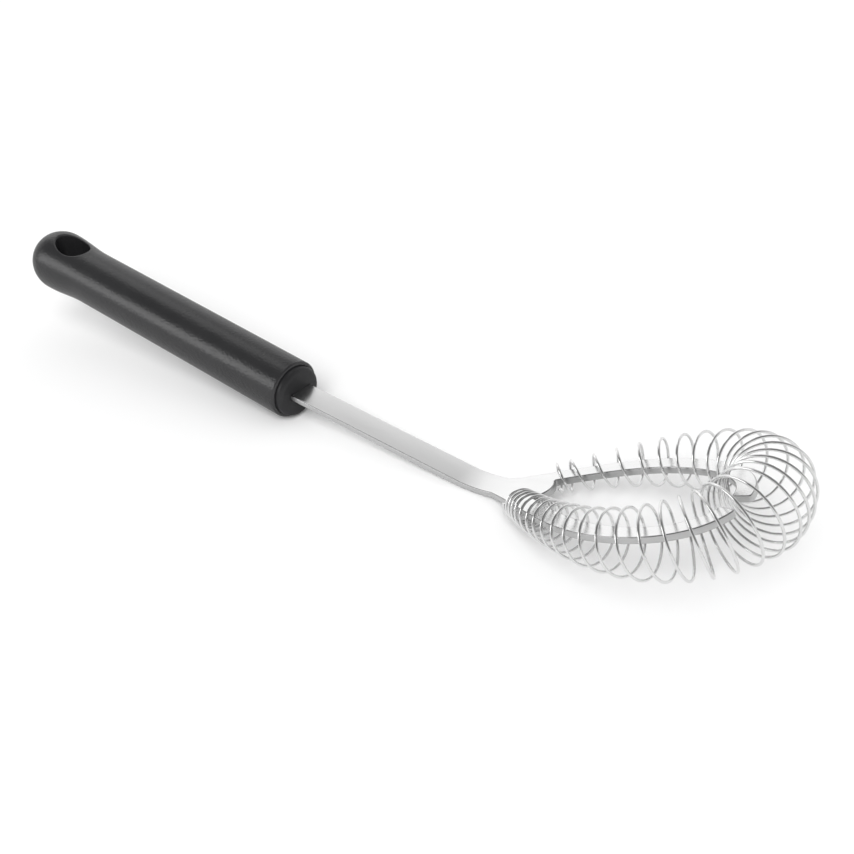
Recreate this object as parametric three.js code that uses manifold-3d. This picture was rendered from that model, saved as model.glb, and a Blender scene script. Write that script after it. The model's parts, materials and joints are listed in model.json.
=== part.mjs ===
// Spiral whisk: a hollow moulded handle, a plug in its mouth, a stamped flat-steel fork and a tapering wire
// coil wound over both prongs. Millimetres, +Z up, lying as it rests on a table.
import * as THREE from 'three';
import { mergeVertices } from 'three/addons/utils/BufferGeometryUtils.js';
import Module from 'manifold-3d';

const wasm = await Module();
wasm.setup();

// Handle, measured back from its front rim
const handleLength = 125.5;
const handleRadius = 9.1;
const rimRound = 0.8;
const bulbRadius = 10.25;
const bulbCapLength = 10.5;
const bulbBlendLength = 17.5;
const hangHoleHalfLength = 7;
const hangHoleHalfWidth = 4.8;
const hangHoleFromEnd = 18.1;
const handleWall = 2.6;
const boreEndWall = 14;

// Plug in the handle's mouth
const mouthWall = 1;
const plugFlangeThickness = 2.7;
const plugSpigotLength = 11;
const plugProud = 0.8;
const plugEdgeRound = 1.6;
const plugEdgeEnd = THREE.MathUtils.degToRad(12);
const plugDome = 0.63;

// Flat-steel strip: tang, shank and the two bends
const stripWidth = 8;
const stripThickness = 2;
const stripLift = 0.5;
const tangLength = 52;
const tangEndChamfer = 2;
const barbHeight = 1;
const barbLength = 5;
const mouthBendAngle = THREE.MathUtils.degToRad(2.5);
const mouthBendRadius = 60;
const mouthBendStart = 1;
const shankLength = 61.5;
const headBendAngle = THREE.MathUtils.degToRad(23);
const headBendRadius = 45;

// Fork, measured along the strip from where it starts to widen, a little before the end of the head bend
const forkLead = 4.5;
const forkLength = 80.8;
const forkHalfWidth = 19.75;
const forkWidestAt = 51.5;
const flarePower = 1.16;
const tipPower = 2.27;
const prongWidth = 5.1;
const tipGap = 6.5;
const crotchAt = 18.7;
const crotchBow = 1.8;
const crotchHalfWidth = 4.2;

// Coil
const wireDiameter = 0.8;
const coilTipRadius = 11.45;
const nearTaperPower = 1.31;
const farTaperPower = 1.38;
const nearEndPlay = 1.75;
const farEndPlay = 1.05;
const nearInnerGap = 2.7;
const farInnerGap = 0.55;
const coilEndGap = 0.85;
const gripLength = 25;
const nearLean = THREE.MathUtils.degToRad(25);
const nearLeanLength = 12;
const farLean = THREE.MathUtils.degToRad(21);
const farLeanLength = 65;

// Spacing of the turns along the fork: close at both roots, open along the prongs, closer round the tip
const turnSpacing = [
  { turn: 0, pitch: 1.6 },
  { turn: 3, pitch: 1.8 },
  { turn: 7, pitch: 4.4 },
  { turn: 10, pitch: 5.6 },
  { turn: 13, pitch: 5.1 },
  { turn: 16, pitch: 3.4 },
  { turn: 18.5, pitch: 2.7 },
  { turn: 22, pitch: 2.3 },
  { turn: 25.5, pitch: 3.9 },
  { turn: 28, pitch: 5.6 },
  { turn: 31, pitch: 6 },
  { turn: 33, pitch: 6.4 },
  { turn: 34.7, pitch: 6.7 },
  { turn: 35.7, pitch: 2.7 },
  { turn: 36.5, pitch: 1.6 },
];

// Clearances and mesh fineness
const fitGap = 0.3;
const roundSides = 36;
const capSteps = 9;
const blendSteps = 8;
const edgeSteps = 4;
const domeSteps = 5;
const crotchSteps = 4;
const stepsPerTurn = 8;
const wireSides = 5;
const prongSteps = 26;
const bendSteps = 8;
const weldDistance = 1e-4;

const wireRadius = wireDiameter / 2;
const boreRadius = handleRadius - handleWall;
const boreDepth = handleLength - hangHoleFromEnd - hangHoleHalfLength - boreEndWall;
const seatRadius = handleRadius - mouthWall;
const seatDepth = plugFlangeThickness + fitGap;
const plugBack = -(plugFlangeThickness + plugSpigotLength);
const plugFace = plugProud + plugEdgeRound * Math.cos(plugEdgeEnd) + plugDome;
const turnCount = turnSpacing[turnSpacing.length - 1].turn;

const blackPlastic = new THREE.MeshStandardMaterial({ color: 0x1b1b1c, roughness: 0.55, metalness: 0 });
const plugPlastic = new THREE.MeshStandardMaterial({ color: 0x232324, roughness: 0.5, metalness: 0 });
const satinSteel = new THREE.MeshStandardMaterial({ color: 0xb4b4b2, roughness: 0.35, metalness: 1 });
const brightWire = new THREE.MeshStandardMaterial({ color: 0xc9c9c7, roughness: 0.2, metalness: 1 });

/** A copy with shared corners welded and flattened triangles dropped. */
function welded(geometry) {
  const bare = geometry.clone();
  bare.deleteAttribute('normal');
  bare.deleteAttribute('uv');
  const merged = mergeVertices(bare, weldDistance);
  const corners = merged.index.array;
  const kept = [];
  for (let i = 0; i < corners.length; i += 3) {
    const [a, b, c] = [corners[i], corners[i + 1], corners[i + 2]];
    if (a !== b && b !== c && c !== a) kept.push(a, b, c);
  }
  merged.setIndex(kept);
  return merged;
}

/** A closed geometry as a solid that can be cut. */
function solidOf(geometry) {
  const closed = welded(geometry);
  return new wasm.Manifold(
    new wasm.Mesh({
      numProp: 3,
      vertProperties: new Float32Array(closed.getAttribute('position').array),
      triVerts: new Uint32Array(closed.index.array),
    }),
  );
}

/** A cut solid as a geometry again. */
function geometryOf(solid) {
  const mesh = solid.getMesh();
  const geometry = new THREE.BufferGeometry();
  geometry.setAttribute('position', new THREE.BufferAttribute(new Float32Array(mesh.vertProperties), 3));
  geometry.setIndex(new THREE.BufferAttribute(new Uint32Array(mesh.triVerts), 1));
  return geometry;
}

/** A named mesh with smooth shading data. */
function namedMesh(name, geometry, material) {
  geometry.computeVertexNormals();
  const mesh = new THREE.Mesh(geometry, material);
  mesh.name = name;
  return mesh;
}

/** A solid of revolution about X from [x, radius] points. */
function turned(profile) {
  const points = profile.map(([x, radius]) => new THREE.Vector2(radius, x));
  return new THREE.LatheGeometry(points, roundSides).rotateZ(-Math.PI / 2);
}

/** Points of a quarter ellipse about [x, radius], from one angle to another. */
function arcPoints(x, radius, halfLength, halfHeight, from, to, count) {
  return Array.from({ length: count + 1 }, (_, i) => {
    const angle = THREE.MathUtils.lerp(from, to, i / count);
    return [x + halfLength * Math.cos(angle), radius + halfHeight * Math.sin(angle)];
  });
}

/** The handle: bulb end, straight grip, rounded rim, seat for the plug, blind bore and oval hanging hole. */
function makeHandle() {
  const bulbAt = bulbCapLength - handleLength;
  const blend = Array.from({ length: blendSteps }, (_, i) => {
    const share = (i + 1) / blendSteps;
    const ease = 0.5 - 0.5 * Math.cos(Math.PI * share);
    return [bulbAt + bulbBlendLength * share, THREE.MathUtils.lerp(bulbRadius, handleRadius, ease)];
  });
  const profile = [
    [-handleLength, 0],
    ...arcPoints(bulbAt, 0, bulbCapLength, bulbRadius, Math.PI, Math.PI / 2, capSteps).slice(1),
    ...blend,
    ...arcPoints(-rimRound, handleRadius - rimRound, rimRound, rimRound, Math.PI / 2, 0, edgeSteps),
    [0, seatRadius],
    [-seatDepth, seatRadius],
    [-seatDepth, boreRadius],
    [-boreDepth, boreRadius],
    [-boreDepth, 0],
  ];
  const holeLength = 4 * bulbRadius;
  const hole = new THREE.CylinderGeometry(hangHoleHalfWidth, hangHoleHalfWidth, holeLength, roundSides);
  hole.rotateX(Math.PI / 2).scale(hangHoleHalfLength / hangHoleHalfWidth, 1, 1);
  hole.translate(hangHoleFromEnd - handleLength, 0, 0);
  return namedMesh('handle', geometryOf(solidOf(turned(profile)).subtract(solidOf(hole))), blackPlastic);
}

/** The plug: proud rounded face, flange in the handle's seat and spigot in its bore, slotted for the strip. */
function makePlug() {
  const flangeRadius = seatRadius - fitGap;
  const spigotRadius = boreRadius - fitGap;
  const domeRadius = flangeRadius - plugEdgeRound;
  const round = plugEdgeRound;
  const edge = arcPoints(plugProud, domeRadius, round, round, Math.PI / 2, plugEdgeEnd, edgeSteps);
  const [edgeX, edgeRadius] = edge[edge.length - 1];
  const dome = Array.from({ length: domeSteps }, (_, i) => {
    const share = (i + 1) / domeSteps;
    return [THREE.MathUtils.lerp(edgeX, plugFace, 1 - (1 - share) ** 2), edgeRadius * (1 - share)];
  });
  const profile = [
    [plugBack, 0],
    [plugBack, spigotRadius],
    [-plugFlangeThickness, spigotRadius],
    [-plugFlangeThickness, flangeRadius],
    ...edge,
    ...dome,
  ];
  const slotLength = 4 * (plugFlangeThickness + plugSpigotLength);
  const slot = new THREE.BoxGeometry(slotLength, stripWidth + 2 * fitGap, stripThickness + 2 * fitGap);
  slot.translate(0, 0, stripLift);
  return namedMesh('front_plug', geometryOf(solidOf(turned(profile)).subtract(solidOf(slot))), plugPlastic);
}

// Stretches of the strip's middle line in the XZ plane, from the tang's end to the fork's tip
const mouthBendLength = mouthBendRadius * mouthBendAngle;
const headBendLength = headBendRadius * headBendAngle;
const stretches = [
  { length: tangLength + plugFace + mouthBendStart, turn: 0 },
  { length: mouthBendLength, turn: mouthBendAngle },
  { length: shankLength, turn: 0 },
  { length: headBendLength, turn: headBendAngle },
  { length: forkLength, turn: 0 },
];
const headBendEnd = stretches.slice(0, 4).reduce((sum, stretch) => sum + stretch.length, 0);
const forkStart = headBendEnd - forkLead;

/** Place, heading and normal of the strip's middle line at a distance from the tang's end. */
function stripFrame(distance) {
  let left = distance;
  let heading = 0;
  const place = new THREE.Vector3(-tangLength, 0, stripLift);
  stretches.forEach(({ length, turn }, index) => {
    const last = index === stretches.length - 1;
    const run = last ? left : THREE.MathUtils.clamp(left, Math.min(left, 0), length);
    const swing = (turn * run) / length;
    const chord = Math.abs(swing) > 0 ? (2 * run * Math.sin(swing / 2)) / swing : run;
    place.x += chord * Math.cos(heading + swing / 2);
    place.z += chord * Math.sin(heading + swing / 2);
    heading += swing;
    left -= run;
  });
  return { place, heading };
}

/** A point of the flat strip, with distance along, side and height, bent to its place. */
function bentPoint(distance, side, height) {
  const { place, heading } = stripFrame(distance);
  const x = place.x - height * Math.sin(heading);
  return new THREE.Vector3(x, side, place.z + height * Math.cos(heading));
}

/** One side of the fork's loop, from the head bend to the tip, drawn in by an inset. */
class LoopCurve extends THREE.Curve {
  constructor(inset) {
    super();
    this.inset = inset;
    this.arcLengthDivisions = 600;
  }

  outer(t) {
    if (t < 0.5) {
      const along = 2 * t * forkWidestAt;
      const flare = Math.sin((Math.PI / 2) * (2 * t) ** flarePower);
      return new THREE.Vector2(along, THREE.MathUtils.lerp(stripWidth / 2, forkHalfWidth, flare));
    }
    const angle = (2 * t - 1) * (Math.PI / 2);
    const along = forkWidestAt + (forkLength - forkWidestAt) * Math.sin(angle) ** (2 / tipPower);
    return new THREE.Vector2(along, forkHalfWidth * Math.max(Math.cos(angle), 0) ** (2 / tipPower));
  }

  normal(t) {
    const reach = 0.004;
    const past = t + reach > 1;
    const before = this.outer(Math.max(t - reach, 0));
    const after = this.outer(past ? 2 - t - reach : t + reach);
    if (past) after.y *= -1;
    const heading = after.sub(before).normalize();
    return new THREE.Vector2(-heading.y, heading.x);
  }

  getPoint(t) {
    return this.outer(t).addScaledVector(this.normal(t), -this.inset);
  }
}

const prongOuter = new LoopCurve(0);
const prongMiddle = new LoopCurve(prongWidth / 2);
const prongInner = new LoopCurve(prongWidth);
const loopHalf = prongMiddle.getLength();

/** How far along the fork the crotch's bowed edge lies at a side distance. */
function crotchEdge(side) {
  return crotchAt - crotchBow * (side / crotchHalfWidth) ** 2;
}

/** The stretch of the loop that one prong takes up, as curve values from its root to its cut end. */
function prongRange() {
  const endAngle = Math.acos((tipGap / 2 / forkHalfWidth) ** (tipPower / 2));
  const end = (1 + endAngle / (Math.PI / 2)) / 2;
  const search = 2000;
  let root = 0;
  for (let i = 0; i <= search; i++) {
    const t = (end * i) / search;
    const inner = prongInner.getPoint(t);
    if (inner.x < crotchEdge(inner.y)) root = t;
  }
  return { root, end };
}

/** The fork's flat outline from the end of the head bend, round both prongs and the crotch. */
function forkOutline(startAlong) {
  const { root, end } = prongRange();
  const first = startAlong / forkWidestAt / 2;
  const shares = Array.from({ length: prongSteps + 1 }, (_, i) => i / prongSteps);
  const samples = (from, to, curve) =>
    shares.map((share) => curve.getPoint(THREE.MathUtils.lerp(from, to, share)));
  const outer = samples(first, end, prongOuter);
  const inner = samples(end, root, prongInner);
  const corner = inner[inner.length - 1];
  const crotch = Array.from({ length: crotchSteps }, (_, i) => {
    const side = corner.y * (1 - (i + 1) / crotchSteps);
    return new THREE.Vector2(crotchEdge(side), side);
  });
  const half = [...outer, ...inner, ...crotch];
  const mirrored = half.slice(0, -1).map((point) => new THREE.Vector2(point.x, -point.y));
  return [...half, ...mirrored.reverse()];
}

/** Half widths of the strip from the tang's end to the end of the head bend. */
function shankStations() {
  const half = stripWidth / 2;
  const shoulder = tangLength + plugBack - fitGap;
  const bend = Array.from({ length: bendSteps + 1 }, (_, i) => {
    const distance = headBendEnd - headBendLength * (1 - i / bendSteps);
    const along = Math.max(distance - forkStart, 0);
    return [distance, prongOuter.outer(along / forkWidestAt / 2).y];
  });
  const mouthStart = stretches[0].length;
  const mouth = [0, 1, 2].map((i) => [mouthStart + (mouthBendLength * i) / 2, half]);
  return [
    [0, half - tangEndChamfer],
    [tangEndChamfer, half],
    [shoulder - barbLength, half],
    [shoulder - fitGap, half + barbHeight],
    [shoulder, half],
    ...mouth,
    ...bend,
  ];
}

/** The strip: a flat pattern with its fork, given its thickness and bent to shape. */
function makeFrame() {
  const stations = shankStations();
  const fork = forkOutline(headBendEnd - forkStart).map((point) => [forkStart + point.x, point.y]);
  const farEdge = stations.slice(0, -1).map(([distance, half]) => [distance, half]);
  const nearEdge = stations.slice(0, -1).map(([distance, half]) => [distance, -half]);
  const outline = [...farEdge, ...fork, ...nearEdge.reverse()];
  const count = outline.length;
  const triangles = [];
  for (let i = 0; i < farEdge.length; i++) {
    const [far, farNext, near, nearNext] = [i, i + 1, count - 1 - i, count - 2 - i];
    triangles.push([far, near, nearNext], [far, nearNext, farNext]);
  }
  const forkPoints = fork.map(([along, side]) => new THREE.Vector2(along, side));
  THREE.ShapeUtils.triangulateShape(forkPoints, []).forEach(([a, b, c]) => {
    const area = forkPoints[b].clone().sub(forkPoints[a]).cross(forkPoints[c].clone().sub(forkPoints[a]));
    const corners = area > 0 ? [a, b, c] : [a, c, b];
    triangles.push(corners.map((corner) => corner + farEdge.length));
  });
  const top = outline.map(([distance, side]) => bentPoint(distance, side, stripThickness / 2));
  const bottom = outline.map(([distance, side]) => bentPoint(distance, side, -stripThickness / 2));
  const index = [];
  triangles.forEach(([a, b, c]) => index.push(a, b, c, a + count, c + count, b + count));
  for (let i = 0; i < count; i++) {
    const next = (i + 1) % count;
    index.push(i, next, i + count, next, next + count, i + count);
  }
  const geometry = new THREE.BufferGeometry().setFromPoints([...top, ...bottom]);
  geometry.setIndex(index);
  return namedMesh('whisk_frame', geometry, satinSteel);
}

/** Pitch of the coil at a turn, read between the listed spacings. */
function pitchAt(turn) {
  const next = Math.max(turnSpacing.findIndex((spacing) => spacing.turn >= turn), 1);
  const [low, high] = [turnSpacing[next - 1], turnSpacing[next]];
  return THREE.MathUtils.mapLinear(turn, low.turn, high.turn, low.pitch, high.pitch);
}

/** Where the coil's first turn sits: the place on a prong's middle line where the wire clears the crotch. */
function coilRoot() {
  const search = 1000;
  for (let i = 0; i <= search; i++) {
    const share = i / search;
    const inner = loopPlace(share, prongWidth / 2 + coilEndGap + wireRadius).inner;
    if (inner.x > crotchEdge(inner.y) + wireRadius + fitGap) return share;
  }
  return 0;
}

/** A prong's inner guide line and outward heading at a share of the half loop, for the far side. */
function loopPlace(share, innerReach) {
  const t = prongMiddle.getUtoTmapping(share);
  const outward = prongMiddle.normal(t);
  return { inner: prongMiddle.getPoint(t).addScaledVector(outward, -innerReach), outward };
}

/** Middle line of the coiled wire, in distance along, side and height over the fork's plane. Each turn's flat
 *  steps lie round its true circle, with one of them facing the prong's inner edge. */
function coilLine() {
  const root = coilRoot();
  const run = 2 * (1 - root) * loopHalf;
  const steps = Math.round(turnCount * stepsPerTurn);
  const spots = [0];
  for (let i = 0; i < steps; i++) spots.push(spots[i] + pitchAt((i + 0.5) / stepsPerTurn) / stepsPerTurn);
  const stretch = run / spots[steps];
  const facetReach = 1 / Math.cos(Math.PI / stepsPerTurn);
  return spots.map((spot, i) => {
    const along = spot * stretch;
    const near = along < run / 2;
    const fromEnd = near ? along : Math.max(run - along, 0);
    const endRadius = prongWidth / 2 + wireRadius + (near ? nearEndPlay : farEndPlay);
    const halfShare = fromEnd / (run / 2);
    const taper = halfShare ** (near ? nearTaperPower : farTaperPower);
    const radius = THREE.MathUtils.lerp(endRadius, coilTipRadius, taper);
    const innerGap = THREE.MathUtils.lerp(nearInnerGap, farInnerGap, along / run);
    const gap = THREE.MathUtils.lerp(coilEndGap, innerGap, Math.min(fromEnd / gripLength, 1));
    const share = root + (1 - root) * halfShare;
    const { inner, outward } = loopPlace(share, prongWidth / 2 + gap + wireRadius);
    const ease = 1 - Math.min(fromEnd / (near ? nearLeanLength : farLeanLength), 1);
    outward.rotateAround(new THREE.Vector2(), (near ? nearLean : farLean) * ease);
    const angle = (-2 * Math.PI * (i - 0.5)) / stepsPerTurn;
    const spoke = inner.addScaledVector(outward, radius * (1 + facetReach * Math.cos(angle)));
    const height = radius * facetReach * Math.sin(angle);
    return new THREE.Vector3(forkStart + spoke.x, near ? -spoke.y : spoke.y, height);
  });
}

/** The coil's middle line bent to its place, with a straight run of one wire diameter at each end. */
function wirePath() {
  const path = coilLine().map((point) => bentPoint(point.x, point.y, point.z));
  const runOut = (end, before) => end.clone().add(end.clone().sub(before).setLength(wireDiameter));
  const last = path.length - 1;
  return [runOut(path[0], path[1]), ...path, runOut(path[last], path[last - 1])];
}

/** Least clear distance between stretches of the wire at least half a turn apart, measured on points. */
function leastSelfGap(path) {
  const parts = 4;
  const points = [];
  for (let i = 0; i + 1 < path.length; i++) {
    for (let part = 0; part < parts; part++) points.push(path[i].clone().lerp(path[i + 1], part / parts));
  }
  const apart = (stepsPerTurn * parts) / 2;
  let least = Infinity;
  for (let i = 0; i < points.length; i++) {
    for (let j = i + apart; j < points.length; j++) least = Math.min(least, points[i].distanceTo(points[j]));
  }
  return least - wireDiameter;
}

/** The coil: one unbroken tube with closed ends along the wire's path. */
function makeCoil() {
  const path = wirePath();
  console.log(`coil least gap to itself ${leastSelfGap(path).toFixed(2)} mm`);
  const points = [];
  const index = [];
  const across = new THREE.Vector3(0, 0, 1);
  path.forEach((point, i) => {
    const before = path[Math.max(i - 1, 0)];
    const after = path[Math.min(i + 1, path.length - 1)];
    const heading = after.clone().sub(before).normalize();
    across.addScaledVector(heading, -across.dot(heading)).normalize();
    const other = heading.clone().cross(across);
    for (let side = 0; side < wireSides; side++) {
      const angle = (2 * Math.PI * side) / wireSides;
      const corner = point.clone().addScaledVector(across, wireRadius * Math.cos(angle));
      points.push(corner.addScaledVector(other, wireRadius * Math.sin(angle)));
    }
  });
  for (let ring = 0; ring + 1 < path.length; ring++) {
    for (let side = 0; side < wireSides; side++) {
      const a = ring * wireSides + side;
      const b = ring * wireSides + ((side + 1) % wireSides);
      index.push(a, b, a + wireSides, b, b + wireSides, a + wireSides);
    }
  }
  const lastRing = (path.length - 1) * wireSides;
  for (let side = 1; side + 1 < wireSides; side++) {
    index.push(0, side + 1, side, lastRing, lastRing + side, lastRing + side + 1);
  }
  const geometry = new THREE.BufferGeometry().setFromPoints(points);
  geometry.setIndex(index);
  return namedMesh('coil_spring', geometry, brightWire);
}

/** Tilt that brings the handle's front rim and the underside of the head bend to one level. */
function restTilt() {
  const bendStart = stripFrame(headBendEnd - headBendLength);
  const reach = headBendRadius + stripThickness / 2;
  const bendX = bendStart.place.x - headBendRadius * Math.sin(bendStart.heading);
  const bendZ = bendStart.place.z + headBendRadius * Math.cos(bendStart.heading);
  const [dx, dz] = [bendX + rimRound, bendZ + handleRadius - rimRound];
  return Math.atan2(dz, dx) - Math.asin((reach - rimRound) / Math.hypot(dx, dz));
}

const tool = new THREE.Group();
tool.add(makeHandle(), makePlug(), makeFrame(), makeCoil());
tool.rotation.y = restTilt();

const whisk = new THREE.Group();
whisk.add(tool);
whisk.updateMatrixWorld(true);
const box = new THREE.Box3().setFromObject(whisk, true);
const middle = box.getCenter(new THREE.Vector3());
tool.position.set(-middle.x, -middle.y, -box.min.z);
whisk.updateMatrixWorld(true);

export default whisk;
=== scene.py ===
"""Visual model of a spiral whisk: moulded handle, mouth plug, stamped steel fork and wound wire coil."""

import json
import logging
import math
from dataclasses import dataclass, field
from enum import Enum

import bmesh
import bpy
import numpy as np
from bpy.types import ID, Material, Mesh, Node, NodeSocket, NodeTree, Object
from mathutils import Matrix, Vector


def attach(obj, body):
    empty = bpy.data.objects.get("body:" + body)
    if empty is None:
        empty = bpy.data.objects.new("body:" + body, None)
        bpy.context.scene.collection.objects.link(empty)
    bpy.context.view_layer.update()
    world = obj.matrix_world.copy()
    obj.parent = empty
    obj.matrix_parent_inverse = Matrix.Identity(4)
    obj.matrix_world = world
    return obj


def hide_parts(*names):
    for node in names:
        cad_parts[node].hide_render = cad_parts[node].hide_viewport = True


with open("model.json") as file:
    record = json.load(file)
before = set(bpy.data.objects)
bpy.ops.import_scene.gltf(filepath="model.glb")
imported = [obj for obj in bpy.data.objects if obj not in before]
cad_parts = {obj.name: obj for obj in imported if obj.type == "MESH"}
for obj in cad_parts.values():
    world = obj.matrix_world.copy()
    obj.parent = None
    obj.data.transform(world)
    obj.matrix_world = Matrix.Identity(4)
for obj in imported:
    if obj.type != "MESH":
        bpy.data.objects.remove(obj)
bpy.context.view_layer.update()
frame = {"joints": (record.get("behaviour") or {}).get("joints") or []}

LOG = logging.getLogger("whisk")
MM = 0.001
IMAGE_PIXELS = 854
SENSOR_MM = 36.0

Points = np.ndarray
Ring = list[int]
Pair = tuple[float, float]
Triple = tuple[float, float, float]
Steps = tuple[Pair, ...]
Feeds = dict[str | int, object]


class Body(Enum):
    """CAD bodies that the pieces ride on."""

    WHISK = "whisk_body"
    COIL = "coil"


class Slot(Enum):
    """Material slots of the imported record."""

    HANDLE = "handle_plastic"
    PLUG = "plug_plastic"
    STRIP = "strip_steel"
    WIRE = "wire_steel"


def lerp(start: float | Points, end: float | Points, share: float | Points) -> float | Points:
    """A value between two others."""
    return start + (end - start) * share


@dataclass(frozen=True)
class ToolFrame:
    """Place of the whisk's own frame, handle along X and front rim at zero, on the table.

    Attributes:
        tilt: Turn about Y that lays the rim and the head bend on the table, in radians.
        origin: Middle of the handle's front rim, in metres.
    """

    tilt: float
    origin: Triple

    @staticmethod
    def turned(points: Points, tilt: float) -> Points:
        """Points turned about Y by a tilt."""
        c, s = math.cos(tilt), math.sin(tilt)
        return np.asarray(points, float) @ np.array([[c, 0, s], [0, 1, 0], [-s, 0, c]]).T

    def place(self, points: Points) -> Points:
        """Millimetre points of the tool as metre points on the table."""
        return self.turned(points, self.tilt) * MM + np.array(self.origin)

    def direction(self, vectors: Points) -> Points:
        """Directions of the tool as directions on the table."""
        return self.turned(vectors, self.tilt)


class Shell:
    """Vertices and faces of one closed skin, gathered in the tool's millimetres."""

    def __init__(self) -> None:
        """Starts an empty skin."""
        self.points: list[Triple] = []
        self.faces: list[tuple[int, ...]] = []

    def add(self, point: Points) -> int:
        """Adds one vertex and gives its number."""
        self.points.append(tuple(float(value) for value in point))
        return len(self.points) - 1

    def ring(self, points: Points) -> Ring:
        """Adds a row of vertices and gives their numbers."""
        return [self.add(point) for point in points]

    def bridge(self, first: Ring, second: Ring) -> None:
        """Joins two closed rings of the same count with quads.

        Args:
            first: Vertex numbers of one ring.
            second: Vertex numbers of the other.
        """
        count = len(first)
        for i in range(count):
            j = (i + 1) % count
            self.faces.append((first[i], first[j], second[j], second[i]))

    def fan(self, ring: Ring, point: Points) -> None:
        """Closes a ring with triangles to one point.

        Args:
            ring: Vertex numbers of the ring.
            point: Place of the point.
        """
        tip = self.add(point)
        for i, corner in enumerate(ring):
            self.faces.append((corner, ring[(i + 1) % len(ring)], tip))

    def mesh(self, name: str, tool: ToolFrame, sharp_angle: float) -> Mesh:
        """The skin as a Blender mesh in its place.

        Args:
            name: Name of the mesh.
            tool: Frame that carries the skin to the table.
            sharp_angle: Edges that turn more than this, in degrees, stay crisp.

        Returns:
            A closed mesh with outward faces.
        """
        mesh = bpy.data.meshes.new(name)
        mesh.from_pydata([tuple(p) for p in tool.place(np.array(self.points))], [], self.faces)
        return finished_mesh(mesh, sharp_angle)


def finished_mesh(mesh: Mesh, sharp_angle: float) -> Mesh:
    """Turns faces outwards, smooths them and keeps crisp edges crisp.

    Args:
        mesh: Closed mesh to finish.
        sharp_angle: Edges that turn more than this, in degrees, stay crisp.

    Returns:
        The same mesh.
    """
    skin = bmesh.new()
    skin.from_mesh(mesh)
    bmesh.ops.recalc_face_normals(skin, faces=skin.faces)
    skin.to_mesh(mesh)
    skin.free()
    mesh.shade_smooth()
    mesh.set_sharp_from_angle(angle=math.radians(sharp_angle))
    mesh.update()
    return mesh


def scene_object(name: str, data: ID) -> Object:
    """A new object in the scene, at the origin.

    Args:
        name: Name of the object.
        data: Its mesh, lamp or camera.

    Returns:
        The object.
    """
    made = bpy.data.objects.new(name, data)
    bpy.context.scene.collection.objects.link(made)
    return made


def declare(piece: Object, body: Body, node: str) -> None:
    """Says which body a piece rides on and the CAD node that it stands for.

    Args:
        piece: Piece to declare.
        body: CAD body that it rides on.
        node: CAD node that it stands for.
    """
    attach(piece, body.value)
    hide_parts(node)
    LOG.info("%s: %d faces, stands for %s", piece.name, len(piece.data.polygons), node)


def whisk_piece(mesh: Mesh, finish: Material, node: str) -> Object:
    """A piece in one finish that rides with the handle.

    Args:
        mesh: Finished mesh, which gives the piece its name.
        finish: Material of the whole piece.
        node: CAD node that the piece stands for.

    Returns:
        The declared piece.
    """
    mesh.materials.append(finish)
    piece = scene_object(mesh.name, mesh)
    declare(piece, Body.WHISK, node)
    return piece


def store(mesh: Mesh, label: str, values: Points) -> None:
    """Keeps a number or a vector for each vertex under a name.

    Args:
        mesh: Mesh that keeps them.
        label: Name of the attribute.
        values: A number or a vector for each vertex.
    """
    kind, member = ("FLOAT", "value") if values.ndim == 1 else ("FLOAT_VECTOR", "vector")
    attribute = mesh.attributes.new(label, kind, "POINT")
    attribute.data.foreach_set(member, values.astype(np.float32).ravel())


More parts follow.
